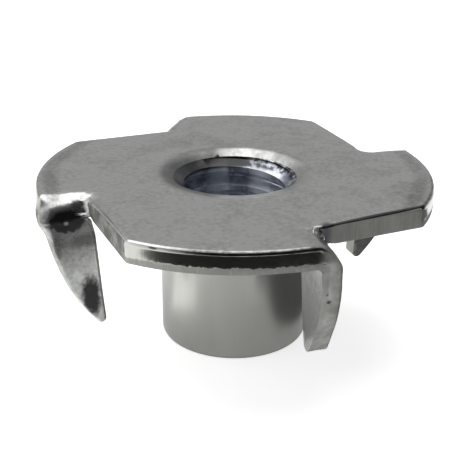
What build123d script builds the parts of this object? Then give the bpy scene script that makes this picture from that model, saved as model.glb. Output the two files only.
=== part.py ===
from build123d import *
from math import asin, cos, degrees, radians, sin, tan
import os

# Driving dimensions, in millimetres and degrees.
# The origin is the centre of the barrel's open end, and +Z runs up the thread to the flange.
thread_major_d = 6.0
thread_pitch = 1.0
flange_d = 19.0
sheet = 1.0
overall_height = 8.4
barrel_d = 7.3

# Each quarter of the flange starts at a corner of its rim, and angles are counted from there.
prong_count = 4
bend_angle = 48.5
bend_inner_r = 7.23
bend_outside_radius = 1.3
bend_root_radius = 0.5
bend_inside_radius = 0.3
prong_splay = 4.5
prong_draw = 0.3
prong_shoulder = 0.6
prong_lean = 0.18
shear_gap = 0.15
web_depth = 1.1
web_lap = 0.25
prong_tip_radius = 0.24

# Edges: the punch rolls the upper ones over, and the press leaves the rest nearly sharp.
corner_radius = 0.35
die_roll = 0.2
lip_radius = 1.0
lip_width = 0.7
lead_in_angle = 30
barrel_root_radius = 0.4
barrel_end_radius = 0.25
bore_end_chamfer = 0.35

# Worked out from the driving dimensions.
flange_r = flange_d / 2
barrel_r = barrel_d / 2
thread_major_r = thread_major_d / 2
bore_r = (thread_major_d - thread_pitch) / 2
lip_r = thread_major_r + lip_width
quarter = 360 / prong_count
flange_top = overall_height
flange_underside = flange_top - sheet
prong_width = flange_r - bend_inner_r
bend_turn = 90 - prong_splay
bend_reach = bend_outside_radius * tan(radians(bend_turn / 2))
eps = 0.001


def on_circle(radius, angle):
    """A point in plan, from its radius and its angle."""
    return Vector(radius * cos(radians(angle)), radius * sin(radians(angle)), 0)


# The bend starts along a radial line. A straight slit frees the prong: it runs from a root, level
# with the bent prong's outer skin, to the next corner.
outward = on_circle(1, bend_angle)
forward = on_circle(1, bend_angle + 90)
bend_inner = on_circle(bend_inner_r, bend_angle)
bend_outer = on_circle(flange_r, bend_angle)
slit_root = bend_inner + bend_reach * forward
next_corner = on_circle(flange_r, quarter)
bend_start = bend_inner + Vector(0, 0, flange_top)
# Across the bend: x runs forward over the bend and y up.
bend_section = Plane(bend_start, x_dir=forward, z_dir=outward)
# Facing the prong: x runs outward along the bend line and y up.
prong_front = Plane(bend_start, x_dir=outward, z_dir=-forward)


def struck_out():
    """The piece of the disc, in plan, that each prong is struck from."""
    rim_middle = on_circle(flange_r, (bend_angle + quarter) / 2)
    fold = Line(bend_inner, bend_outer)
    rim = ThreePointArc(bend_outer, rim_middle, next_corner)
    slit = Line(next_corner, slit_root)
    web = Line(slit_root, bend_inner)
    return make_face([fold, rim, slit, web])


def flange():
    """The disc with its gaps, its corners eased and the edges of its upper face rolled over."""
    outline = Circle(flange_r) - PolarLocations(0, prong_count) * struck_out()
    corners = [on_circle(flange_r, quarter * n) for n in range(prong_count)]
    at_corners = [v for v in outline.vertices() if min((Vector(v) - c).length for c in corners) < eps]
    plate = extrude(Pos(0, 0, flange_underside) * fillet(at_corners, corner_radius), sheet)
    # The edges that the prong carries on from stay square.
    fold_middle = (bend_inner + bend_outer) / 2 + Vector(0, 0, flange_top)
    web_middle = (bend_inner + slit_root) / 2 + Vector(0, 0, flange_top)
    joins = [m.rotate(Axis.Z, quarter * n) for m in (fold_middle, web_middle) for n in range(prong_count)]
    upper_edges = plate.faces().sort_by(Axis.Z)[-1].edges()
    rolled = [e for e in upper_edges if min((e.center() - j).length for j in joins) > eps]
    return fillet(rolled, die_roll)


def bend_arc(radius):
    """The outer skin's arc over the bend, ending on the same leg whatever its radius."""
    start = (bend_reach - radius * tan(radians(bend_turn / 2)), 0)
    return JernArc(start, (1, 0), radius, -bend_turn)


def square_corner(radius):
    """What rounding the strip's outer corner to this radius takes away."""
    arc = bend_arc(radius)
    corner = (bend_reach, 0)
    return make_face([arc, Line(arc @ 1, corner), Line(corner, arc @ 0)])


def bent_strip():
    """A strip of the sheet bent down, wider than the prong.

    The bend is tight at the slit's root, where the flange holds it, and opens out to the rim."""
    leg_length = flange_r
    leg = bend_arc(bend_outside_radius) % 1
    inner = JernArc((0, -sheet), (1, 0), bend_inside_radius, -bend_turn)
    corner = (bend_reach, 0)
    outer_leg = Line(corner, Vector(*corner) + leg * leg_length)
    inner_leg = Line(inner @ 1, inner @ 1 + leg * leg_length)
    start = Line(inner @ 0, (0, 0))
    end = Line(outer_leg @ 1, inner_leg @ 1)
    section = make_face([start, Line((0, 0), corner), outer_leg, end, inner_leg, inner])
    strip = extrude(bend_section * Pos(0, 0, -prong_width) * section, 3 * prong_width)
    at_root = bend_section * Pos(0, 0, -web_lap) * square_corner(bend_root_radius)
    at_rim = bend_section * Pos(0, 0, prong_width) * square_corner(bend_outside_radius)
    return strip - loft([at_root, at_rim], ruled=True)


def prong_outline():
    """The prong seen from the front: a straight sheared side and the curve of the blank's rim.

    The bend draws the metal out, so the neck keeps its full width down to the shoulder.
    The web at its head laps into the flange and fills the rolled edge there. Just below the
    flange, the sheared side steps clear of the slit by the gap of the shearing tools."""
    reach = next_corner - bend_inner
    tip = (reach.dot(outward) + shear_gap - prong_lean, -reach.dot(forward) - prong_draw)
    sheared_side = Line(tip, (shear_gap, -web_depth))
    web = Polyline((shear_gap, -web_depth), (-web_lap, -web_depth), (-web_lap, 0), (prong_width, 0))
    shoulder = (prong_width, -prong_shoulder)
    neck = Line((prong_width, 0), shoulder)
    rim = RadiusArc(shoulder, tip, flange_r)
    outline = make_face([sheared_side, web, neck, rim])
    return fillet(outline.vertices().sort_by(Axis.Y)[0], prong_tip_radius)


def prong():
    """One prong: the strip cut to the outline, with the rolled edge along its rim and point."""
    reach = 2 * bend_outside_radius
    blade = bent_strip() & extrude(prong_front * prong_outline(), reach, both=True)
    skin = [f for f in blade.faces() if f.normal_at().dot(forward) > 0.5]
    level = [f for f in blade.faces() if abs(f.normal_at().dot(forward)) < 0.5]
    rim_sides = [f for f in level if f.normal_at().dot(outward) > -0.7]
    rim_edges = [e for f in rim_sides for e in f.edges()]
    rolled = [e for f in skin for e in f.edges() if e in rim_edges]
    return fillet(rolled, die_roll)


def barrel():
    """The barrel drawn down from the middle of the disc, solid until the bore is cut."""
    wall_foot = (barrel_r, barrel_end_radius)
    wall_head = (barrel_r, flange_underside - barrel_root_radius)
    root_end = (barrel_r + barrel_root_radius, flange_underside)
    base = Line((0, 0), (barrel_r - barrel_end_radius, 0))
    foot = RadiusArc(base @ 1, wall_foot, -barrel_end_radius)
    wall = Line(wall_foot, wall_head)
    root = RadiusArc(wall_head, root_end, barrel_root_radius)
    inside = Polyline(root_end, (root_end[0], flange_top - die_roll), (0, flange_top - die_roll), (0, 0))
    return revolve(Plane.XZ * make_face([base, foot, wall, root, inside]), Axis.Z)


def bore():
    """The threaded hole at its minor diameter, with the drawn lip above and a chamfer below."""
    lip_turn = degrees(asin(lip_width / lip_radius))
    mouth = Polyline((0, 0), (bore_r + bore_end_chamfer, 0), (bore_r, bore_end_chamfer))
    lip = JernArc((lip_r, flange_top), (-1, 0), lip_radius, lip_turn)
    lip_foot = lip @ 1
    lead_in_foot = (bore_r, lip_foot.Y - (thread_major_r - bore_r) * tan(radians(lead_in_angle)))
    wall = Polyline((bore_r, bore_end_chamfer), lead_in_foot, (lip_foot.X, lip_foot.Y))
    middle = Polyline((lip_r, flange_top), (0, flange_top), (0, 0))
    return revolve(Plane.XZ * make_face([mouth, wall, lip, middle]), Axis.Z)


def tee_nut():
    """The whole nut as one piece of sheet steel."""
    nut = flange() + barrel() + PolarLocations(0, prong_count) * prong() - bore()
    nut.label = "tee_nut"
    return nut


if __name__ == "__main__":
    os.makedirs("parts", exist_ok=True)
    nut = tee_nut()
    export_step(nut, "parts/tee_nut.step")
    print("tee_nut", nut.bounding_box(), "volume", round(nut.volume, 2), nut.is_valid)
    print("solids", len(nut.solids()), "faces", len(nut.faces()))
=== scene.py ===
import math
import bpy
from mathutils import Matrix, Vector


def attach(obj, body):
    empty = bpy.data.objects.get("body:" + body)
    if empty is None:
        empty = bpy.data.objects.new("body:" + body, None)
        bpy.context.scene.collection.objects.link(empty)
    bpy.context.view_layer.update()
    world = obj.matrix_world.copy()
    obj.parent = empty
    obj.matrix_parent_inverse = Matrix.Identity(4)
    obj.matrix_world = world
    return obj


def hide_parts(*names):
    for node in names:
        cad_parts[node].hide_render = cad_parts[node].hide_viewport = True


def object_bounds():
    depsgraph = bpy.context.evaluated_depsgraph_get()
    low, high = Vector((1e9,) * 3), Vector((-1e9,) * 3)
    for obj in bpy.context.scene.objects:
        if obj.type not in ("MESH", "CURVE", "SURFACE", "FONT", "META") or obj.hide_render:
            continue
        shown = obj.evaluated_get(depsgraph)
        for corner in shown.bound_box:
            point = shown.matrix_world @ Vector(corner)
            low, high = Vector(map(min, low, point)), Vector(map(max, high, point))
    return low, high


bl_info = {
    "name": "Pronged tee nut",
    "version": (1, 0, 0),
    "blender": (4, 5, 0),
    "location": "3D View > Sidebar > Tee nut",
    "description": "Cuts the thread, dresses a zinc-plated tee nut and sets up its small studio",
    "category": "Object",
}

from typing import NamedTuple

import bpy
from mathutils import Matrix, Vector

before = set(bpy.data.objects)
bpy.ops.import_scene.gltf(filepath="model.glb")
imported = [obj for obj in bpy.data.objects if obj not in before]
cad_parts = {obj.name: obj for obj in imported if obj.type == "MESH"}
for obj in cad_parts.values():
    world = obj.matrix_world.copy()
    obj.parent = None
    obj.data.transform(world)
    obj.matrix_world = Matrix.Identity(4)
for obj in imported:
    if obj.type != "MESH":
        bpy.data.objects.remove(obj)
CAD_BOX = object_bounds()

MM = 0.001
NODE = "tee_nut"
FLANGE_TOP = CAD_BOX[1][2]
# The flange's upper face in millimetres, which heights on the nut are counted down from.
TOP = FLANGE_TOP / MM
# Points nearer than this are one point, and what is nearer than the slack to a surface is on it.
MERGE_DISTANCE = 0.0005 * MM
SLACK = 0.01 * MM
# The groove's ridge runs out of both ends of the bore.
THREAD_TURNS = 10
STEPS_PER_TURN = 96
FLANK_ANGLE = math.radians(30)
# Edges that turn by less than this are shaded smooth.
SMOOTH_ANGLE = math.radians(38)
# The order of the nut's finishes, after the rolled skin.
BARREL, RIM, SLIT, THREAD = 1, 2, 3, 4
# Where the plain nut is sliced so that it can be eased, in millimetres: down from the flange's face,
# outwards over the flange and over a bend, and forwards over a bend.
CUTS_DOWN = (0.15, 0.3, 0.45, 0.6, 0.8, 1.0, 1.25, 1.5, 1.8, 2.2, 2.8, 3.4, 4.0, 4.6, 5.2, 5.8, 6.3, 6.7)
FLANGE_CUTS_OUT = (6.2, 6.7, 7.0, 7.3, 7.6, 8.0)
BEND_CUTS_OUT = (7.3, 7.6, 8.0, 8.4, 8.8, 9.1, 9.3)
BEND_CUTS_FORWARD = (-1.2, -0.9, -0.6, -0.3, 0.3, 0.6, 0.9, 1.2, 1.5, 1.8)


class Strike(NamedTuple):
    """How one prong was left by its own strike, in millimetres from the plain prong."""

    # Its tip: up, forwards, forwards on the outer side alone, and outwards.
    tip_up: float = 0.0
    tip_forward: float = 0.0
    side_forward: float = 0.0
    tip_out: float = 0.0
    # Its slit's root: pulled down, and outwards.
    root_down: float = 0.0
    root_out: float = 0.0
    # Its bend: how far behind its line it starts, how much rounder it is, how far it bulges past
    # the rim, and how far its skin rolls over towards the rim.
    bend_back: float = 0.0
    rounder: float = 0.0
    bulge: float = 0.0
    roll: float = 0.0


STRIKES = (
    Strike(
        tip_up=-0.1, tip_forward=0.1, side_forward=0.2, root_down=0.1, root_out=0.4,
        rounder=0.16, bulge=0.1, roll=0.08),
    Strike(tip_up=0.2, tip_out=0.08, root_down=0.15, root_out=0.15, bulge=0.2, roll=0.2),
    Strike(bend_back=0.25, rounder=0.6, bulge=0.2, roll=0.2),
    Strike(tip_up=-0.08, tip_out=-0.04, root_down=0.26, root_out=0.25, bulge=0.27, roll=0.32),
)
PRONGS = len(STRIKES)
# How far round the nut one prong is from the next.
PRONG_STEP = math.tau / PRONGS
# The two prongs in front: one is seen edge on, and one shows its face.
EDGE_ON, FACE_ON = 0, 3


# Shader maths

class Value:
    """A node's socket that ordinary arithmetic can be written on."""

    def __init__(self, graph, socket):
        self.graph = graph
        self.socket = socket

    def maths(self, operation, *operands):
        return self.graph.node("ShaderNodeMath", {"operation": operation}, dict(enumerate(operands)))

    def __add__(self, other):
        return self.maths("ADD", self, other)

    def __radd__(self, other):
        return self.maths("ADD", other, self)

    def __sub__(self, other):
        return self.maths("SUBTRACT", self, other)

    def __rsub__(self, other):
        return self.maths("SUBTRACT", other, self)

    def __mul__(self, other):
        return self.maths("MULTIPLY", self, other)

    def __rmul__(self, other):
        return self.maths("MULTIPLY", other, self)

    def __truediv__(self, other):
        return self.maths("DIVIDE", self, other)

    def least(self, other):
        return self.maths("MINIMUM", self, other)

    def most(self, other):
        return self.maths("MAXIMUM", self, other)

    def absolute(self):
        return self.maths("ABSOLUTE", self)

    def part(self, name):
        """One component of a vector socket."""
        return self.graph.node("ShaderNodeSeparateXYZ", {}, {"Vector": self}, name)

    def between(self, low, high):
        """0 below low, 1 above high, and a gentle step between them."""
        return self.graph.node(
            "ShaderNodeMapRange",
            {"interpolation_type": "SMOOTHSTEP"},
            {"Value": self, "From Min": low, "From Max": high},
        )

    def band(self, low, full_from, full_to, high):
        """1 in the middle, fading to 0 at low and at high."""
        return self.between(low, full_from) * (1 - self.between(full_to, high))


class Graph:
    """A node tree that is filled by one method."""

    def __init__(self, tree):
        self.tree = tree
        self.tree.nodes.clear()

    def node(self, kind, settings=None, inputs=None, output=0):
        made = self.tree.nodes.new(kind)
        for name, setting in (settings or {}).items():
            setattr(made, name, setting)
        for name, value in (inputs or {}).items():
            if isinstance(value, Value):
                self.tree.links.new(value.socket, made.inputs[name])
            else:
                made.inputs[name].default_value = value
        return Value(self, made.outputs[output]) if made.outputs else None

    def place(self):
        """Where a point of the surface is, in the piece's own coordinates."""
        return self.node("ShaderNodeTexCoord", {}, {}, "Object")

    def noted(self, name, output):
        """What the piece's vertices keep under this name."""
        return self.node("ShaderNodeAttribute", {"attribute_name": name}, {}, output)

    def ray(self, kind):
        """1 for this kind of ray, and 0 for the others."""
        return self.node("ShaderNodeLightPath", {}, {}, kind)

    def noise(self, vector, scale, detail, roughness, **more):
        """Noise about 0.5, whose scale is in cells per metre."""
        inputs = {"Vector": vector, "Scale": scale, "Detail": detail, "Roughness": roughness}
        return self.node("ShaderNodeTexNoise", {}, {**inputs, **more})

    def blend(self, factor, first, second):
        """The first colour where the factor is 0 or less, the second where it is 1 or more."""
        return self.node(
            "ShaderNodeMix", {"data_type": "RGBA"}, {0: factor, 6: first, 7: second}, 2)

    def vectors(self, operation, inputs, output="Vector"):
        return self.node("ShaderNodeVectorMath", {"operation": operation}, inputs, output)

    def stretched(self, vector, scale):
        return self.vectors("MULTIPLY", {0: vector, 1: scale})

    def along(self, vector, direction):
        """How far a vector reaches in this direction."""
        return self.vectors("DOT_PRODUCT", {0: vector, 1: direction}, "Value")

    def spot(self, place, centre, scale, inner, outer, rough=0.5):
        """1 within the inner distance of a place, 0 beyond the outer one, in millimetres.

        A noise given as rough makes its edge ragged."""
        middle = Vector(centre) * Vector(scale)
        away = self.vectors("DISTANCE", {0: self.stretched(place, scale), 1: middle}, "Value") / MM
        ragged = 0.7 * outer * (rough - 0.5)
        return 1 - (away + ragged).between(inner, outer)


# Sizes and colours

def length_property(name, description, millimetres):
    """A length that is given here in millimetres and kept in metres."""
    return bpy.props.FloatProperty(
        name=name, description=description, default=millimetres * MM, unit="LENGTH", precision=5)


def angle_property(name, description, degrees):
    """An angle that is given here in degrees."""
    return bpy.props.FloatProperty(
        name=name, description=description, default=math.radians(degrees), unit="ROTATION")


def colour_property(name, description, red, green, blue):
    return bpy.props.FloatVectorProperty(
        name=name, description=description, default=(red, green, blue), subtype="COLOR", min=0, max=1)


def share_property(name, description, default):
    return bpy.props.FloatProperty(
        name=name, description=description, default=default, subtype="FACTOR", min=0, max=1)


def level_property(name, description, default):
    """A brightness, where 1 is white."""
    return bpy.props.FloatProperty(name=name, description=description, default=default, min=0)


class NutSizes(bpy.types.PropertyGroup):
    """Sizes of the thread and of the easing, and those of the plain nut that they follow."""

    pitch: length_property(
        "Thread pitch", "Distance from one crest to the next", 1.0)
    major_radius: length_property(
        "Thread major radius", "Radius at the bottom of the thread's groove", 3.0)
    groove_base: length_property(
        "Groove base radius", "Radius inside the bore where the groove's section starts", 2.35)
    root_width: length_property(
        "Root width", "Width of the flat at the bottom of the groove", 0.14)
    thread_rise: length_property(
        "Thread rise", "How far the thread is moved up the bore, within one pitch", 0.51)
    lip_lean: length_property(
        "Lip lean", "How far the lip leans in over the bore on one side", 0.3)
    lip_lean_angle: angle_property(
        "Lip lean angle", "Where round the bore the lip leans in", 27.8)
    eased_inner: length_property(
        "Eased bend inner radius", "Outside radius of the real bend at its inner end", 1.1)
    eased_outer: length_property(
        "Eased bend outer radius", "Outside radius of the real bend at the rim", 1.45)
    side_draw: length_property(
        "Side draw", "How far a prong's sheared side stands in from the plain one's", 0.12)
    root_thinning: length_property(
        "Root thinning", "How far the flange's underside is drawn up at a slit's root", 0.16)
    sheet: length_property(
        "Sheet", "Thickness of the sheet the nut is pressed from", 1.0)
    bend_angle: angle_property(
        "Bend angle", "Angle from a corner of the rim to the line where a prong is bent", 48.5)
    bend_inner: length_property(
        "Bend inner end", "Distance from the axis to the bend's inner end", 7.23)
    bend_radius: length_property(
        "Bend radius", "Outside radius of the plain bend at the rim", 1.3)
    splay: angle_property(
        "Splay", "How far each prong leans out from square", 4.5)
    rim_radius: length_property(
        "Rim radius", "Radius of the flange", 9.5)
    barrel_radius: length_property(
        "Barrel radius", "Outside radius of the barrel", 3.65)


class NutFinish(bpy.types.PropertyGroup):
    """Colours and polish of the plating."""

    zinc: colour_property(
        "Zinc", "Colour of the clean plating", 0.575, 0.583, 0.57)
    sheared: colour_property(
        "Sheared steel", "Colour of the plating over the sheared walls", 0.66, 0.67, 0.62)
    drawn: colour_property(
        "Drawn steel", "Colour of the plating over the drawn barrel", 0.4, 0.402, 0.376)
    drag: colour_property(
        "Drag lines", "Colour of the lines that the shear dragged down a slit", 0.44, 0.43, 0.41)
    # Near black: the colour of the nicks and pits, and of painted shade and painted dark reflections.
    film_and_shade: colour_property(
        "Film", "Colour of the dark marks on the plating", 0.045, 0.045, 0.045)
    grime: colour_property(
        "Grime", "Colour of the film left in corners and smudges", 0.22, 0.22, 0.215)
    # Partly a bluer plating, and partly painted light: lighter than the zinc to offset the shade in the
    # bore.
    thread: colour_property(
        "Thread", "Colour of the plating in the thread", 0.8, 0.84, 0.92)
    # Also the colour of painted shade in the thread and in a slit's root.
    thread_grime_and_shade: colour_property(
        "Thread grime", "Colour of the film left in the thread", 0.22, 0.235, 0.29)
    roughness: share_property(
        "Roughness", "Roughness of the clean plating", 0.2)


class StudioSettings(bpy.types.PropertyGroup):
    """The camera, the floor and the light."""

    distance: length_property(
        "Camera distance", "From the middle of the flange's upper face to the camera", 47.425)
    azimuth: angle_property(
        "Camera azimuth", "Turn of the camera about the vertical", 117.8)
    elevation: angle_property(
        "Camera elevation", "Height of the camera above the flange, as an angle", 19.87)
    roll: angle_property(
        "Camera roll", "Turn of the camera about its line of sight", 0.465)
    tilt: angle_property(
        "Camera tilt", "How far the line of sight is tipped from the flange's middle", -3.75)
    lens: bpy.props.FloatProperty(
        name="Lens", description="Focal length of the camera",
        default=75.0, subtype="DISTANCE_CAMERA", unit="CAMERA")
    floor_size: length_property(
        "Floor size", "Side of the square floor", 1200)
    floor: colour_property(
        "Floor", "Colour of the floor", 0.86, 0.86, 0.86)
    floor_glow: level_property(
        "Floor glow", "What is added to the floor as the camera sees it", 0.75)
    mirrored_glow: share_property(
        "Mirrored glow", "Share of the floor's glow that reflections see", 0.55)
    wall_level: level_property(
        "Walls", "Brightness of the grey walls, where 1 is white", 0.42)
    left_level: level_property(
        "Left wall", "What the pale wall on the left adds to them", 0.75)
    front_dimming: share_property(
        "Front dimming", "How far the walls are dimmed in front of the nut", 0.95)
    box_level: level_property(
        "Soft box", "Brightness of the soft box, where 1 is white", 2.1)


# Modelling helpers

def deselect_all():
    """Nothing stays selected, so an operator meets only what is chosen for it."""
    if bpy.context.object and bpy.context.object.mode != "OBJECT":
        bpy.ops.object.mode_set(mode="OBJECT")
    bpy.ops.object.select_all(action="DESELECT")


def work_on(piece):
    """The piece becomes the only selected object."""
    deselect_all()
    piece.select_set(True)
    bpy.context.view_layer.objects.active = piece


def edit(piece, mode="VERT"):
    """Edit mode with nothing selected."""
    work_on(piece)
    bpy.ops.object.mode_set(mode="EDIT")
    bpy.ops.mesh.select_mode(type=mode)
    bpy.ops.mesh.select_all(action="DESELECT")


def select_vertices(piece, chosen):
    """Edit mode with the vertices selected whose place the test accepts."""
    edit(piece)
    bpy.ops.object.mode_set(mode="OBJECT")
    for vertex in piece.data.vertices:
        vertex.select = bool(chosen(vertex.co))
    bpy.ops.object.mode_set(mode="EDIT")


def select_faces(piece, chosen):
    """Edit mode with the faces selected whose centre and normal the test accepts."""
    edit(piece, "FACE")
    bpy.ops.object.mode_set(mode="OBJECT")
    for face in piece.data.polygons:
        face.select = bool(chosen(face.center, face.normal))
    bpy.ops.object.mode_set(mode="EDIT")


def apply_modifier(piece, kind, **settings):
    """A modifier is added with its settings and applied at once."""
    work_on(piece)
    modifier = piece.modifiers.new(kind.title(), kind)
    for name, value in settings.items():
        setattr(modifier, name, value)
    bpy.ops.object.modifier_apply(modifier=modifier.name)


def merged_copy(node, name):
    """A copy of the plain node, with its loose triangles joined into one closed skin."""
    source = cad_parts[node]
    piece = bpy.data.objects.new(name, source.data.copy())
    bpy.context.scene.collection.objects.link(piece)
    edit(piece)
    bpy.ops.mesh.select_all(action="SELECT")
    bpy.ops.mesh.remove_doubles(threshold=MERGE_DISTANCE)
    bpy.ops.mesh.customdata_custom_splitnormals_clear()
    bpy.ops.object.mode_set(mode="OBJECT")
    piece.data.materials.clear()
    return piece


def cut_across(piece, places, normal, chosen):
    """The chosen faces are divided by planes, so that they can follow a bend."""
    select_faces(piece, chosen)
    bpy.ops.mesh.hide(unselected=True)
    for place in places:
        bpy.ops.mesh.select_all(action="SELECT")
        bpy.ops.mesh.bisect(plane_co=place, plane_no=normal, threshold=MERGE_DISTANCE)
    bpy.ops.mesh.reveal()
    bpy.ops.object.mode_set(mode="OBJECT")


def smooth(value, low, high):
    """0 up to low, 1 from high on, and a gentle step between them."""
    part = min(max((value - low) / (high - low), 0.0), 1.0)
    return part * part * (3 - 2 * part)


def hump(value, middle, reach):
    """1 at the middle, fading to 0 at the reach."""
    part = min(abs(value - middle) / reach, 1.0)
    return (1 - part * part) ** 2


# Places on the nut

def bend_axes(sizes, number):
    """The directions outwards along a bend and forwards over it."""
    angle = sizes.bend_angle + number * PRONG_STEP
    outward = Vector((math.cos(angle), math.sin(angle), 0))
    return outward, Vector((-outward.y, outward.x, 0))


def prong_place(sizes, number, across, along, height):
    """A place by a prong, given in millimetres out, over its bend and up."""
    outward, forward = bend_axes(sizes, number)
    return (outward * across + forward * along + Vector((0, 0, height))) * MM


def leg_angle(sizes):
    """How far the sheet turns over a bend."""
    return math.radians(90) - sizes.splay


def over_prong(sizes, outward, forward):
    """True for a place over a prong or its bend, as seen from that bend."""
    return 0 < forward < 4 * sizes.sheet and outward > 0.9 * sizes.bend_inner


def prong_frame(sizes, place):
    """Where a point is as seen from the nearest bend: outwards, forwards and that bend's angle."""
    turn = math.floor(math.atan2(place.y, place.x) / PRONG_STEP) * PRONG_STEP
    best = None
    for angle in (turn + sizes.bend_angle, turn + sizes.bend_angle - PRONG_STEP):
        outward = place.x * math.cos(angle) + place.y * math.sin(angle)
        forward = place.y * math.cos(angle) - place.x * math.sin(angle)
        if best is None or over_prong(sizes, outward, forward):
            best = (outward, forward, angle)
    return best


def on_blank(sizes, place):
    """Where this bit of metal was on the flat blank, and how deep in the sheet, from 0 to 1."""
    underside = FLANGE_TOP - sizes.sheet
    barrel_root = sizes.barrel_radius + 0.5 * MM
    if math.hypot(place.x, place.y) < barrel_root and place.z < underside - SLACK:
        return (math.atan2(place.y, place.x) * sizes.barrel_radius, place.z, 0.0)
    outward, forward, angle = prong_frame(sizes, place)
    in_flange = place.z > underside - SLACK and outward < sizes.bend_inner + SLACK
    if in_flange or not over_prong(sizes, outward, forward):
        return (place.x, place.y, (FLANGE_TOP - place.z) / sizes.sheet)
    height = place.z - (FLANGE_TOP - sizes.bend_radius)
    turned = math.atan2(forward, height)
    leg_turn = leg_angle(sizes)
    along = sizes.bend_radius * min(turned, leg_turn)
    out = math.hypot(forward, height)
    if turned > leg_turn:
        out = forward * math.sin(leg_turn) + height * math.cos(leg_turn)
        along += forward * math.cos(leg_turn) - height * math.sin(leg_turn)
    depth = (sizes.bend_radius - out) / sizes.sheet
    x = outward * math.cos(angle) - along * math.sin(angle)
    y = outward * math.sin(angle) + along * math.cos(angle)
    return (x, y, min(max(depth, 0.0), 1.0))


# The nut's shape

def thread_groove(sizes):
    """A helical ridge with the section of the thread's groove, which runs out of both ends."""
    depth = sizes.major_radius - sizes.groove_base
    foot = sizes.thread_rise - sizes.pitch
    base_width = sizes.root_width + 2 * depth * math.tan(FLANK_ANGLE)
    deselect_all()
    bpy.ops.mesh.primitive_plane_add(
        size=depth,
        location=(sizes.groove_base + depth / 2, 0, foot),
        rotation=(math.radians(90), 0, 0),
    )
    groove = bpy.context.object
    bpy.ops.object.transform_apply(location=True, rotation=True, scale=True)
    for radius, width in ((sizes.groove_base, base_width), (sizes.major_radius, sizes.root_width)):
        select_vertices(groove, lambda place: abs(place.x - radius) < depth / 10)
        bpy.ops.transform.resize(value=(1, 1, width / depth), center_override=(radius, 0, foot))
    # The last side chosen is the root's, and its two corners are rounded.
    rounding = 0.4 * sizes.root_width
    bpy.ops.mesh.bevel(offset=rounding, segments=2, affect="VERTICES", offset_type="OFFSET")
    bpy.ops.mesh.select_all(action="SELECT")
    bpy.ops.mesh.delete(type="ONLY_FACE")
    bpy.ops.object.mode_set(mode="OBJECT")
    apply_modifier(
        groove, "SCREW", axis="Z", angle=math.tau, iterations=THREAD_TURNS, screw_offset=sizes.pitch,
        steps=STEPS_PER_TURN, render_steps=STEPS_PER_TURN, use_merge_vertices=False)
    edit(groove)
    bpy.ops.mesh.select_non_manifold()
    bpy.ops.mesh.fill_holes(sides=0)
    bpy.ops.mesh.select_all(action="SELECT")
    bpy.ops.mesh.normals_make_consistent(inside=False)
    bpy.ops.object.mode_set(mode="OBJECT")
    return groove


def cut_thread(nut, sizes):
    """The groove is taken out of the bore's wall."""
    groove = thread_groove(sizes)
    apply_modifier(nut, "BOOLEAN", operation="DIFFERENCE", solver="EXACT", object=groove)
    bpy.data.objects.remove(groove)


def slice_for_easing(nut, sizes):
    """Cuts across the bends, the prongs and the flange beside them, so that they can be eased."""
    def on_prong(centre, normal):
        outward, forward, angle = prong_frame(sizes, centre)
        return outward > 6.8 * MM and 0 < forward < 3.2 * MM and centre.z < FLANGE_TOP

    def on_flange(centre, normal):
        off_barrel = math.hypot(centre.x, centre.y) > 4 * MM
        return off_barrel and abs(normal.z) > 0.9 and centre.z > FLANGE_TOP - 1.01 * sizes.sheet

    cut_across(nut, [(0, 0, (TOP - cut) * MM) for cut in CUTS_DOWN], (0, 0, 1), on_prong)
    for number in range(PRONGS):
        outward, forward = bend_axes(sizes, number)

        def beside_bend(centre, normal):
            return centre.dot(outward) > 6 * MM and -2 * MM < centre.dot(forward) < 3.2 * MM

        cuts = (
            (outward, FLANGE_CUTS_OUT, on_flange),
            (outward, BEND_CUTS_OUT, beside_bend),
            (forward, BEND_CUTS_FORWARD, beside_bend),
        )
        for direction, steps, chosen in cuts:
            cut_across(nut, [direction * step * MM for step in steps], direction, chosen)


def ease_bend(sizes, strike, across, along, height):
    """Rounds the bend, squeezes it out past the rim, and rolls its skin over towards that side.

    This and the other easings take a point of the plain nut and give its place on the real one,
    both in millimetres out along the bend's line, forwards over the bend and up."""
    inner_end = 7.2
    to_rim = (across - inner_end) / (sizes.rim_radius / MM - inner_end)
    radius = (sizes.eased_inner + (sizes.eased_outer - sizes.eased_inner) * to_rim) / MM + strike.rounder
    leg_turn = leg_angle(sizes)
    centre_along = (sizes.bend_radius / MM - radius) * math.tan(leg_turn / 2)
    centre_height = TOP - radius
    out = math.hypot(along - centre_along, height - centre_height)
    turn = math.atan2(along - centre_along, height - centre_height)
    if out > radius and 0 < turn < leg_turn:
        clear_of_flange = smooth(across, 7.22, 7.42)
        kept = 1 - clear_of_flange * (1 - radius / out)
        along = centre_along + (along - centre_along) * kept
        height = centre_height + (height - centre_height) * kept
    past_start = smooth(along, -1.3, 0.7)
    bulge = strike.bulge * hump(height, TOP - 0.85, 1.0) * smooth(across, 8.6, 9.4) * past_start
    if turn > leg_turn:
        out = (along - centre_along) * math.sin(leg_turn) + (height - centre_height) * math.cos(leg_turn)
    if turn > 0:
        by_skin = smooth(out, radius - 0.4, radius - 0.1)
        by_rim = smooth(across, 8.6, 9.6) ** 2
        over_bend = smooth(turn, 0.1, 0.7) * smooth(height, TOP - 2.8, TOP - 1.2)
        roll = strike.roll * by_skin * by_rim * over_bend
        along -= roll * math.sin(min(turn, leg_turn))
        height -= roll * math.cos(min(turn, leg_turn))
    return across + bulge, along, height


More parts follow.
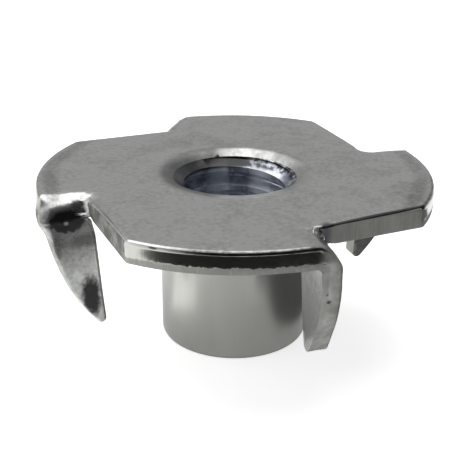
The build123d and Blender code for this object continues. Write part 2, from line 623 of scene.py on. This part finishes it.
def ease_prong(sizes, strike, across, along, height):
    """Draws the prong's sheared side in, and gives its tip the length and lean of its strike."""
    if along <= 0.02 or across <= 7:
        return across, along, height
    below_bend = 1 - smooth(height, TOP - 1.8, TOP - 1.1)
    sheared_side = 1 - smooth(across, 7.3, 8.8)
    outer_side = smooth(along, 1.2, 2.4)
    at_tip = 1 - smooth(height, 1.4, 3.8)
    # The outer side turns down as it goes forwards.
    turned_forward = strike.side_forward * outer_side
    turned_down = 1.8 * turned_forward
    across += strike.tip_out * at_tip - sizes.side_draw / MM * below_bend * sheared_side
    along += (strike.tip_forward + turned_forward) * at_tip
    height += (strike.tip_up - turned_down) * at_tip
    return across, along, height


def ease_root(sizes, strike, across, along, height):
    """Pulls the flange down and outwards at the slit's root, where it thins."""
    flange_foot = TOP - 1.3
    if height <= flange_foot:
        return across, along, height
    root_across, root_along = 7.4, 1.25
    away = (across - root_across) ** 2 + (along - root_along) ** 2
    near_root = math.exp(-away / 0.3) * smooth(across, 6.6, 7.3)
    by_skin = smooth(height, TOP - 1.0, TOP - 0.4)
    fading_along = min(max((along - 1.3) / 5, 0), 1)
    along_slit = smooth(along, -0.6, 0.9) * (1 - fading_along)
    beside_slit = smooth(across, 5.8, 7.1) * (1 - smooth(across, 7.4, 8.8))
    across += strike.root_out * along_slit * beside_slit * smooth(height, flange_foot, TOP - 0.9)
    height += (sizes.root_thinning / MM * (1 - by_skin) - strike.root_down * by_skin) * near_root
    return across, along, height


def set_back(sizes, strike, across, along, height):
    """Moves a bend so that it starts behind its line."""
    beside_bend = smooth(across, 6, 7.1)
    over_bend = smooth(along, -1.6, -0.2) * (1 - smooth(along, 2.5, 5.5))
    return across, along - strike.bend_back * beside_bend * over_bend, height


def ease_bends(nut, sizes):
    """Rounds the bends, and gives each prong the length and lean that its own strike left it."""
    for vertex in nut.data.vertices:
        across, along, angle = prong_frame(sizes, vertex.co)
        if across < 5.5 * MM or not -1.7 * MM < along < 5.6 * MM:
            continue
        number = round((angle - sizes.bend_angle) / PRONG_STEP) % PRONGS
        place = (across / MM, along / MM, vertex.co.z / MM)
        for ease in (ease_bend, ease_prong, ease_root, set_back):
            place = ease(sizes, STRIKES[number], *place)
        vertex.co = prong_place(sizes, number, *place)


def ease_lip(nut, sizes):
    """The lip leans in over the bore on one side."""
    # The lean fades out this far round the bore to both sides, in radians.
    reach = 1.7
    for vertex in nut.data.vertices:
        radius = math.hypot(vertex.co.x, vertex.co.y) / MM
        by_bore = 1 - smooth(radius, 3.0, 4.3)
        upper = smooth(vertex.co.z / MM, TOP - 1.1, TOP - 0.5)
        askew = math.remainder(math.atan2(vertex.co.y, vertex.co.x) - sizes.lip_lean_angle, math.tau)
        lean = sizes.lip_lean / MM * hump(askew, 0, reach) * by_bore * upper
        vertex.co.xy *= 1 - lean / radius


def note_blank(nut, sizes):
    """Each vertex keeps its place on the blank, for the marks that rolling and shearing leave.

    It also keeps how much of it was struck down with a prong, from 0 to 1."""
    nut.data.attributes.new("blank", "FLOAT_VECTOR", "POINT")
    nut.data.attributes.new("struck", "FLOAT", "POINT")
    places = nut.data.attributes["blank"].data
    struck = nut.data.attributes["struck"].data
    for vertex in nut.data.vertices:
        places[vertex.index].vector = on_blank(sizes, vertex.co)
        across, along, angle = prong_frame(sizes, vertex.co)
        if across > 7 * MM and along < 4 * MM:
            struck[vertex.index].value = smooth(along / MM, -0.1, 1.0)


# Which finish a face gets

def is_thread(sizes, centre, normal):
    """True for the faces of the tapped bore."""
    inward = centre.x * normal.x + centre.y * normal.y < 0
    return math.hypot(centre.x, centre.y) < sizes.major_radius + SLACK and inward


def is_barrel(sizes, centre, normal):
    """True for the barrel's outside and its open end."""
    barrel_root = sizes.barrel_radius + 0.45 * MM
    return math.hypot(centre.x, centre.y) < barrel_root and centre.z < FLANGE_TOP - 1.01 * sizes.sheet


def is_blanked(sizes, centre, normal):
    """True for the rim, which the blanking die cut, round the flange and down each prong."""
    outward, forward, angle = prong_frame(sizes, centre)
    if over_prong(sizes, outward, forward) and outward > sizes.bend_inner:
        return normal.x * math.cos(angle) + normal.y * math.sin(angle) > 0.7
    at_rim = math.hypot(centre.x, centre.y) > sizes.rim_radius - 0.25 * MM
    return at_rim and abs(normal.z) < 0.6


def is_sheared(sizes, centre, normal):
    """True for the walls that shearing left: the slits and the prongs' two narrow sides."""
    if math.hypot(centre.x, centre.y) < sizes.barrel_radius + 1 * MM:
        return False
    outward, forward, angle = prong_frame(sizes, centre)
    in_prong = over_prong(sizes, outward, forward) and outward > sizes.bend_inner
    if in_prong and centre.z < FLANGE_TOP - SLACK:
        return abs(normal.x * math.cos(angle) + normal.y * math.sin(angle)) > 0.75
    return abs(normal.z) < 0.6


def give_finishes(nut, sizes, finish):
    """The rolled skin, the barrel, the rim, the slits and the thread each get their own finish."""
    for paint in (plating, barrel_plating, rim_plating, slit_plating, thread_plating):
        nut.data.materials.append(paint(finish, sizes))
    tests = ((is_thread, THREAD), (is_barrel, BARREL), (is_blanked, RIM), (is_sheared, SLIT))
    for face in nut.data.polygons:
        for is_kind, index in tests:
            if is_kind(sizes, face.center, face.normal):
                face.material_index = index
                break


# The finishes, with every place and depth on the nut in millimetres

def new_material(name):
    material = bpy.data.materials.new(name)
    material.use_nodes = True
    return material, Graph(material.node_tree)


def metal(graph, colour, roughness, height, bump_depth, bare=1.0):
    """A metal with a colour, a roughness, a bump of this depth, and how bare it is of dull oxide."""
    bump = graph.node(
        "ShaderNodeBump", {}, {"Strength": 1.0, "Distance": bump_depth * MM, "Height": height})
    shader = graph.node(
        "ShaderNodeBsdfPrincipled", {},
        {"Base Color": colour, "Metallic": bare, "Roughness": roughness, "Normal": bump})
    graph.node("ShaderNodeOutputMaterial", {}, {"Surface": shader})


def sideways(place, sizes):
    """How far a place lies to the side of the line along which the lip leans.

    The photograph was taken along that line, and marks laid out by it are known from it alone."""
    lean = sizes.lip_lean_angle
    return (place.part("Y") * math.cos(lean) - place.part("X") * math.sin(lean)) / MM


def face_on_dark_reflections(graph, place, sizes, speckle, mottle):
    """Painted dark reflections on the skin of the prong that shows its face, with a painted highlight left
    clear in one.
    """
    def spot(at, scale, inner, outer, rough=0.5):
        return graph.spot(place, prong_place(sizes, FACE_ON, *at), scale, inner, outer, rough)

    under_bend = spot((8.5, 1.25, 7.4), (1, 1, 1.5), 0.65, 0.95, speckle)
    glint = spot((8.55, 1.3, 7.35), (1, 1, 1), 0.03, 0.16)
    band = spot((8.0, 1.55, 6.45), (0.8, 1, 2.6), 0.35, 1.1, mottle)
    by_slit = spot((7.65, 1.7, 3.72), (1, 1, 0.42), 0.3, 0.6, speckle)
    return 0.95 * under_bend * (1 - glint) + 0.6 * band + by_slit


def edge_on_slit_shade(graph, blank, sizes):
    """Painted shade on the skin along the slit of the prong that is seen edge on."""
    outward, forward = bend_axes(sizes, EDGE_ON)
    slant = Matrix.Rotation(math.radians(1.3), 3, "Z")
    to_slit = graph.along(blank, slant @ outward) / MM
    past_root = (graph.along(blank, forward) / MM).between(1.0, 1.3)
    by_skin = 1 - blank.part("Z").between(0.25, 0.4)
    return to_slit.band(7.02, 7.1, 7.27, 7.3) * past_root * by_skin


def plating(finish, sizes):
    """Zinc plating over rolled sheet: satin, smudged and finely streaked."""
    material, graph = new_material("Zinc plating")
    place = graph.place()
    blank = graph.noted("blank", "Vector")
    smudge = graph.noise(place, 230, 4, 0.6, Distortion=0.8)
    patch = graph.noise(place, 900, 3, 0.55)
    speckle = graph.noise(place, 4200, 3, 0.7)
    grain = graph.noise(place, 4500, 3, 0.7)
    streak = graph.noise(graph.stretched(blank, (1.0, 0.06, 0.2)), 3000, 3, 0.6) - 0.5
    cloud = smudge.between(0.42, 0.7)
    mottle = patch.between(0.35, 0.75)
    side = sideways(place, sizes)
    reach = graph.vectors("LENGTH", {0: graph.stretched(place, (1, 1, 0))}, "Value") / MM
    radius = reach + 0.5 * (smudge - 0.5)
    # The lobes on both sides are darker near the rim.
    lobes = side.absolute().between(6.5, 8.0) * radius.band(8.3, 8.8, 9.0, 9.35)
    upper_face = (place.part("Z") / MM).between(TOP - 0.3, TOP - 0.1)
    # The lip is rough, and it gets painted shade apart from a stretch on one side, where its highlight
    # shows.
    lip = 1 - radius.between(3.4, 3.95)
    burnished = side.between(-1.3, -0.2) * (1 - 0.5 * side.between(1.9, 2.7))
    # The rolled edge along the rim gets painted shade, save at one end, so that its highlight shows there
    # only.
    rolled = reach.between(9.28, 9.4) * side.between(-3.2, -1.4) * (0.5 + 0.3 * speckle.between(0.4, 0.6))
    film_and_shade = face_on_dark_reflections(graph, place, sizes, speckle, mottle) + 0.7 * lip * (1 - burnished)
    film_and_shade = (film_and_shade + rolled + 0.9 * edge_on_slit_shade(graph, blank, sizes)).least(1)
    # Painted shade in the roots of the four slits.
    slit_root_shade = sum(
        graph.spot(place, prong_place(sizes, number, 7.45, 1.35, 8.1), (1, 1, 1), 0.1, 0.35, mottle)
        for number in range(PRONGS))
    darker_lobes_and_lip = lobes * upper_face + 0.6 * lip * mottle
    dulling = 0.36 * cloud + 0.28 * mottle + 0.3 * streak + 0.4 * darker_lobes_and_lip
    dulling = dulling + 0.4 * (grain.between(0.3, 0.7) - 0.6)
    clean = graph.blend(dulling.most(0).least(1), (*finish.zinc, 1), (*finish.grime, 1))
    colour = graph.blend((film_and_shade + 0.7 * slit_root_shade).least(1), clean, (*finish.film_and_shade, 1))
    roughness = finish.roughness + 0.05 * cloud + 0.04 * mottle + 0.1 * (streak + film_and_shade + lip)
    height = grain * 1.2 + patch * (0.2 + 8 * lip) + streak * 0.5
    metal(graph, colour, roughness, height, 0.0025, 0.96)
    return material


def barrel_plating(finish, sizes):
    """Plating over the drawn barrel: smooth, with faint lines up it and a few dark specks."""
    material, graph = new_material("Drawn barrel")
    place = graph.place()
    lines = graph.noise(graph.stretched(place, (1.0, 1.0, 0.03)), 3600, 3, 0.6)
    cloud = graph.noise(graph.stretched(place, (1.0, 1.0, 0.6)), 420, 3, 0.55).between(0.45, 0.75)
    specks = graph.noise(place, 1900, 2, 0.5).between(0.7, 0.78)
    open_end = 1 - (place.part("Z") / MM + 0.1 * (lines - 0.5)).between(0.08, 0.22)
    dulling = 0.12 * (lines - 0.3) + 0.16 * cloud + 0.5 * specks + 0.7 * open_end
    colour = graph.blend(dulling.most(0).least(1), (*finish.drawn, 1), (*finish.grime, 1))
    roughness = finish.roughness + 0.07 + 0.05 * cloud + 0.06 * lines
    metal(graph, colour, roughness, lines * 0.3 - specks, 0.004)
    return material


def rim_plating(finish, sizes):
    """Plating over the blanked rim: a burnished band above a torn one."""
    material, graph = new_material("Blanked rim")
    place = graph.place()
    blank = graph.noted("blank", "Vector")
    struck = graph.noted("struck", "Fac")
    depth = blank.part("Z")
    # The first two run straight through the sheet, and the third changes a little with depth.
    lines = graph.noise(graph.stretched(blank, (1.0, 1.0, 0.0)), 9000, 3, 0.7)
    waves = graph.noise(graph.stretched(blank, (1.0, 1.0, 0.0)), 700, 3, 0.6)
    rough = graph.noise(graph.stretched(blank, (1.0, 1.0, 0.0004)), 5200, 4, 0.7)
    patch = graph.noise(place, 1300, 4, 0.65)
    torn = (depth + 0.22 * (waves - 0.5) + 0.25 * (rough - 0.5)).between(0.66, 0.78) * (1 - struck)
    upper_pit = graph.spot(place, prong_place(sizes, EDGE_ON, 9.35, 0.66, 6.0), (1, 1, 1), 0.05, 0.13)
    lower_pit = graph.spot(place, prong_place(sizes, EDGE_ON, 9.25, 0.8, 5.6), (1, 1, 1), 0.08, 0.16)
    pits = upper_pit + lower_pit
    nick = graph.spot(place, Vector((9.42, 1.25, 8.33)) * MM, (1, 0.45, 1.3), 0.05, 0.14, patch)
    dulling = 0.15 * lines * (1 - struck) + torn * (0.1 + 0.55 * rough)
    dulling = dulling + struck * (0.2 + 0.5 * patch.between(0.3, 0.7))
    clean = graph.blend(dulling.least(1), (*finish.sheared, 1), (*finish.grime, 1))
    # The rim's upper edge gets painted shade, save at one end, so that its highlight shows there only.
    upper_edge = (1 - depth.between(0.08, 0.25)) * sideways(place, sizes).between(-3.2, -1.2)
    upper_edge_shade = upper_edge * (0.35 + 0.6 * patch.between(0.4, 0.6)) * (1 - struck)
    film_and_shade = (0.9 * nick + 0.8 * pits + upper_edge_shade).least(1)
    colour = graph.blend(film_and_shade, clean, (*finish.film_and_shade, 1))
    roughness = finish.roughness - 0.09 + 0.03 * lines + 0.4 * torn + 0.38 * struck
    height = lines * 0.25 * (1 - struck) + torn * (6 * rough - 1.5) + struck * patch * 2 - 6 * pits
    metal(graph, colour, roughness, height, 0.008, 1 - 0.45 * torn - 0.4 * struck)
    return material


def slit_plating(finish, sizes):
    """Plating over a slit's wall: dull, with lines that the shear dragged down it."""
    material, graph = new_material("Sheared slit")
    place = graph.place()
    blank = graph.noted("blank", "Vector")
    dragged_down = graph.stretched(blank, (1.0, 1.0, 0.00002))
    lines = graph.noise(dragged_down, 8200, 4, 0.75)
    broad = graph.noise(dragged_down, 1500, 3, 0.6)
    patch = graph.noise(place, 1100, 3, 0.6)
    in_flange = (place.part("Z") / MM).between(TOP - 1.1, TOP - 0.9)
    dulling = in_flange * (0.5 * lines.between(0.3, 0.75) + 0.25 * broad.between(0.35, 0.7))
    dulling = dulling + 0.4 * patch.between(0.35, 0.7)
    clean = graph.blend(dulling.least(1), (*finish.sheared, 1), (*finish.drag, 1))
    # Painted shade in the root of the slit of the prong that is seen edge on.
    root = graph.spot(place, prong_place(sizes, EDGE_ON, 7.6, 1.25, 8.0), (1, 1, 0.4), 0.1, 0.4, patch)
    # The slits on one side are darker.
    darker_side = 1 - sideways(place, sizes).between(-4.5, -4.2)
    side_darkening = darker_side * (0.36 + 0.35 * patch.between(0.4, 0.6))
    colour = graph.blend(0.8 * root, clean, (*finish.thread_grime_and_shade, 1))
    colour = graph.blend(side_darkening, colour, (*finish.film_and_shade, 1))
    roughness = finish.roughness + 0.3 + 0.12 * patch
    metal(graph, colour, roughness, in_flange * (lines * 1.2 + broad) + patch * 1.5, 0.01, 0.5)
    return material


def thread_plating(finish, sizes):
    """Plating in the thread: bluer than the skin, with fine unevenness along the flanks, painted
    highlights in two bands down the bore, and painted shade on the rest and on the lead-in.
    """
    material, graph = new_material("Thread")
    place = graph.place()
    chatter = graph.noise(place, 2600, 3, 0.6)
    patch = graph.noise(place, 700, 3, 0.6, Distortion=0.5)
    side = sideways(place, sizes)
    # Two bright bands run down the bore, where the photograph shows them from its one side.
    # The bands are painted highlights: less grime there, and a less metallic, paler finish.
    sheen = side.band(-1.5, -0.8, -0.7, -0.2) + side.band(0.5, 1.2, 1.3, 2.0)
    # Patchy grime, with painted shade added all over the thread save in the bands.
    grime_and_shade_mix = patch.between(0.35, 0.7) + 0.15 - 1.3 * sheen
    clean = graph.blend(grime_and_shade_mix.most(0).least(1), (*finish.thread, 1), (*finish.thread_grime_and_shade, 1))
    # The lead-in above the thread gets painted shade, left off in flecks on one side where its highlights
    # show.
    lead_in = (place.part("Z") / MM).between(TOP - 0.78, TOP - 0.62)
    highlight_flecks = side.between(0.4, 1.4) * graph.noise(place, 3200, 2, 0.5).between(0.42, 0.66)
    paler = 0.06 * (1 - side.between(-2.4, -1.4))
    dark = lead_in * (0.98 - paler - 0.7 * highlight_flecks)
    colour = graph.blend(dark, clean, (*finish.film_and_shade, 1))
    bare = 0.75 + 0.25 * dark.most(0) - 0.6 * sheen
    metal(graph, colour, finish.roughness - 0.02 + 0.12 * patch, chatter, 0.008, bare)
    return material


class TEENUT_OT_model_nut(bpy.types.Operator):
    """Copies the plain nut, cuts its thread, plates it and eases its bends and its lip"""

    bl_idname = "teenut.model_nut"
    bl_label = "Model the nut"
    bl_options = {"REGISTER", "UNDO"}

    def execute(self, context):
        scene = context.scene
        nut = merged_copy(NODE, "nut")
        slice_for_easing(nut, scene.nut_sizes)
        cut_thread(nut, scene.nut_sizes)
        note_blank(nut, scene.nut_sizes)
        give_finishes(nut, scene.nut_sizes, scene.nut_finish)
        ease_bends(nut, scene.nut_sizes)
        ease_lip(nut, scene.nut_sizes)
        work_on(nut)
        bpy.ops.object.shade_smooth_by_angle(angle=SMOOTH_ANGLE)
        apply_modifier(nut, "WEIGHTED_NORMAL", mode="FACE_AREA", keep_sharp=True)
        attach(nut, "root")
        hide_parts(NODE)
        return {"FINISHED"}


# The studio

def build_floor(settings):
    """A pale floor that stays white to the camera and keeps the nut's shadow."""
    deselect_all()
    bpy.ops.mesh.primitive_plane_add(size=settings.floor_size, location=(0, 0, 0))
    floor = bpy.context.object
    floor.name = "floor"
    material, graph = new_material("Pale floor")
    mirrored = settings.mirrored_glow * graph.ray("Is Glossy Ray")
    direct = (graph.ray("Is Camera Ray") + mirrored + graph.ray("Is Transmission Ray")).least(1)
    diffuse = graph.node("ShaderNodeBsdfDiffuse", {}, {"Color": (*settings.floor, 1)})
    glow = graph.node(
        "ShaderNodeEmission", {}, {"Color": (1, 1, 1, 1), "Strength": direct * settings.floor_glow})
    both = graph.node("ShaderNodeAddShader", {}, {0: diffuse, 1: glow})
    graph.node("ShaderNodeOutputMaterial", {}, {"Surface": both})
    floor.data.materials.append(material)


def floor_card(name, settings, glow, near, far, left_near, left_far, right=100):
    """A card lying on the floor, which only the metal's reflections see: black, or glowing.

    It is laid out in millimetres as the camera sees it: its near and far edges, the near and far
    ends of its left edge, and its right edge."""
    above_floor = 0.05 * MM
    same = 0.01
    deselect_all()
    bpy.ops.mesh.primitive_plane_add(size=2)
    card = bpy.context.object
    card.name = name
    corners = ((left_near, near, -1, -1), (left_far, far, -1, 1), (right, near, 1, -1), (right, far, 1, 1))
    for x, y, side, end in corners:
        select_vertices(card, lambda place: abs(place.x - side) < same and abs(place.y - end) < same)
        bpy.ops.transform.translate(value=(x * MM - side, y * MM - end, above_floor))
        bpy.ops.object.mode_set(mode="OBJECT")
    card.data.transform(Matrix.Rotation(settings.azimuth, 4, "Z"))
    material, graph = new_material("Card")
    paint = graph.node("ShaderNodeBsdfDiffuse", {}, {"Color": (0.02, 0.02, 0.02, 1)})
    light = graph.node("ShaderNodeEmission", {}, {"Color": (1, 1, 1, 1), "Strength": glow})
    both = graph.node("ShaderNodeAddShader", {}, {0: paint, 1: light})
    graph.node("ShaderNodeOutputMaterial", {}, {"Surface": both})
    card.data.materials.append(material)
    card.visible_camera = False
    card.visible_diffuse = False
    card.visible_shadow = False


def build_cards(settings):
    """A black card lies in front of the nut, two dim ones come in under it on the right, and a
    white one on the left lights the barrel's edge."""
    floor_card("front_card", settings, glow=0, near=-85, far=-20.5, left_near=-22, left_far=-20)
    floor_card("near_card", settings, glow=0.12, near=-20.5, far=-4, left_near=15, left_far=5)
    floor_card("side_card", settings, glow=0.12, near=-4, far=12, left_near=5, left_far=5)
    floor_card("white_card", settings, glow=1.8, near=-6.5, far=0, left_near=-22, left_far=-22, right=-6.5)


def build_light(settings):
    """A soft box overhead, grey walls behind, a pale wall on the left and a dark side in front.

    The camera itself sees plain white all round."""
    world = bpy.data.worlds.new("Studio")
    bpy.context.scene.world = world
    world.use_nodes = True
    graph = Graph(world.node_tree)
    direction = graph.node("ShaderNodeTexCoord", {}, {}, "Generated")
    turned = graph.node(
        "ShaderNodeVectorRotate", {"rotation_type": "Z_AXIS"},
        {"Vector": direction, "Angle": -settings.azimuth})

    def facing(x, y, z):
        """1 towards this direction, 0 square to it: x to the right, y away and z up."""
        return graph.along(turned, Vector((x, y, z)).normalized())

    box = facing(-0.15, 0.3, 0.94).between(0.8, 0.87)
    left = facing(-1, -0.25, 0.1).between(0.45, 0.9)
    front = facing(0.4, -0.8, 0.45).between(0.0, 0.4)
    walls = settings.wall_level * (1 - settings.front_dimming * front) + settings.left_level * left
    level = walls + box * (settings.box_level - walls)
    strength = level + graph.ray("Is Camera Ray") * (1 - level)
    background = graph.node("ShaderNodeBackground", {}, {"Color": (1, 1, 1, 1), "Strength": strength})
    graph.node("ShaderNodeOutputWorld", {}, {"Surface": background})


def build_camera(settings):
    """A camera at the photograph's angle, framed for a square picture."""
    turn = Matrix.Rotation(settings.azimuth, 3, "Z")
    lift = Matrix.Rotation(math.radians(90) - settings.elevation, 3, "X")
    facing = turn @ lift
    middle = Vector((0, 0, FLANGE_TOP))
    place = middle + facing @ Vector((0, 0, settings.distance))
    roll = Matrix.Rotation(settings.roll, 3, "Z")
    tilt = Matrix.Rotation(settings.tilt, 3, "X")
    data = bpy.data.cameras.new("camera")
    data.lens = settings.lens
    data.clip_start = 1 * MM
    data.clip_end = 10
    camera = bpy.data.objects.new("camera", data)
    bpy.context.scene.collection.objects.link(camera)
    camera.matrix_world = Matrix.Translation(place) @ (facing @ roll @ tilt).to_4x4()
    bpy.context.scene.camera = camera


class TEENUT_OT_set_stage(bpy.types.Operator):
    """Sets the pale floor, the soft light and the camera"""

    bl_idname = "teenut.set_stage"
    bl_label = "Set the stage"
    bl_options = {"REGISTER", "UNDO"}

    def execute(self, context):
        settings = context.scene.nut_studio
        build_floor(settings)
        build_cards(settings)
        build_light(settings)
        build_camera(settings)
        context.scene.view_settings.view_transform = "Standard"
        return {"FINISHED"}


class TEENUT_PT_panel(bpy.types.Panel):
    """Lists the steps and their settings"""

    bl_idname = "TEENUT_PT_panel"
    bl_label = "Tee nut"
    bl_space_type = "VIEW_3D"
    bl_region_type = "UI"
    bl_category = "Tee nut"

    def draw(self, context):
        for group in (context.scene.nut_sizes, context.scene.nut_finish, context.scene.nut_studio):
            box = self.layout.box()
            for name in type(group).__annotations__:
                box.prop(group, name)
        self.layout.operator(TEENUT_OT_model_nut.bl_idname)
        self.layout.operator(TEENUT_OT_set_stage.bl_idname)


CLASSES = (NutSizes, NutFinish, StudioSettings, TEENUT_OT_model_nut, TEENUT_OT_set_stage, TEENUT_PT_panel)


def register():
    for entry in CLASSES:
        bpy.utils.register_class(entry)
    bpy.types.Scene.nut_sizes = bpy.props.PointerProperty(type=NutSizes)
    bpy.types.Scene.nut_finish = bpy.props.PointerProperty(type=NutFinish)
    bpy.types.Scene.nut_studio = bpy.props.PointerProperty(type=StudioSettings)


def unregister():
    del bpy.types.Scene.nut_studio
    del bpy.types.Scene.nut_finish
    del bpy.types.Scene.nut_sizes
    for entry in reversed(CLASSES):
        bpy.utils.unregister_class(entry)


def main():
    """Builds everything in order."""
    register()
    bpy.ops.teenut.set_stage()
    bpy.ops.teenut.model_nut()


if __name__ == "__main__":
    main()
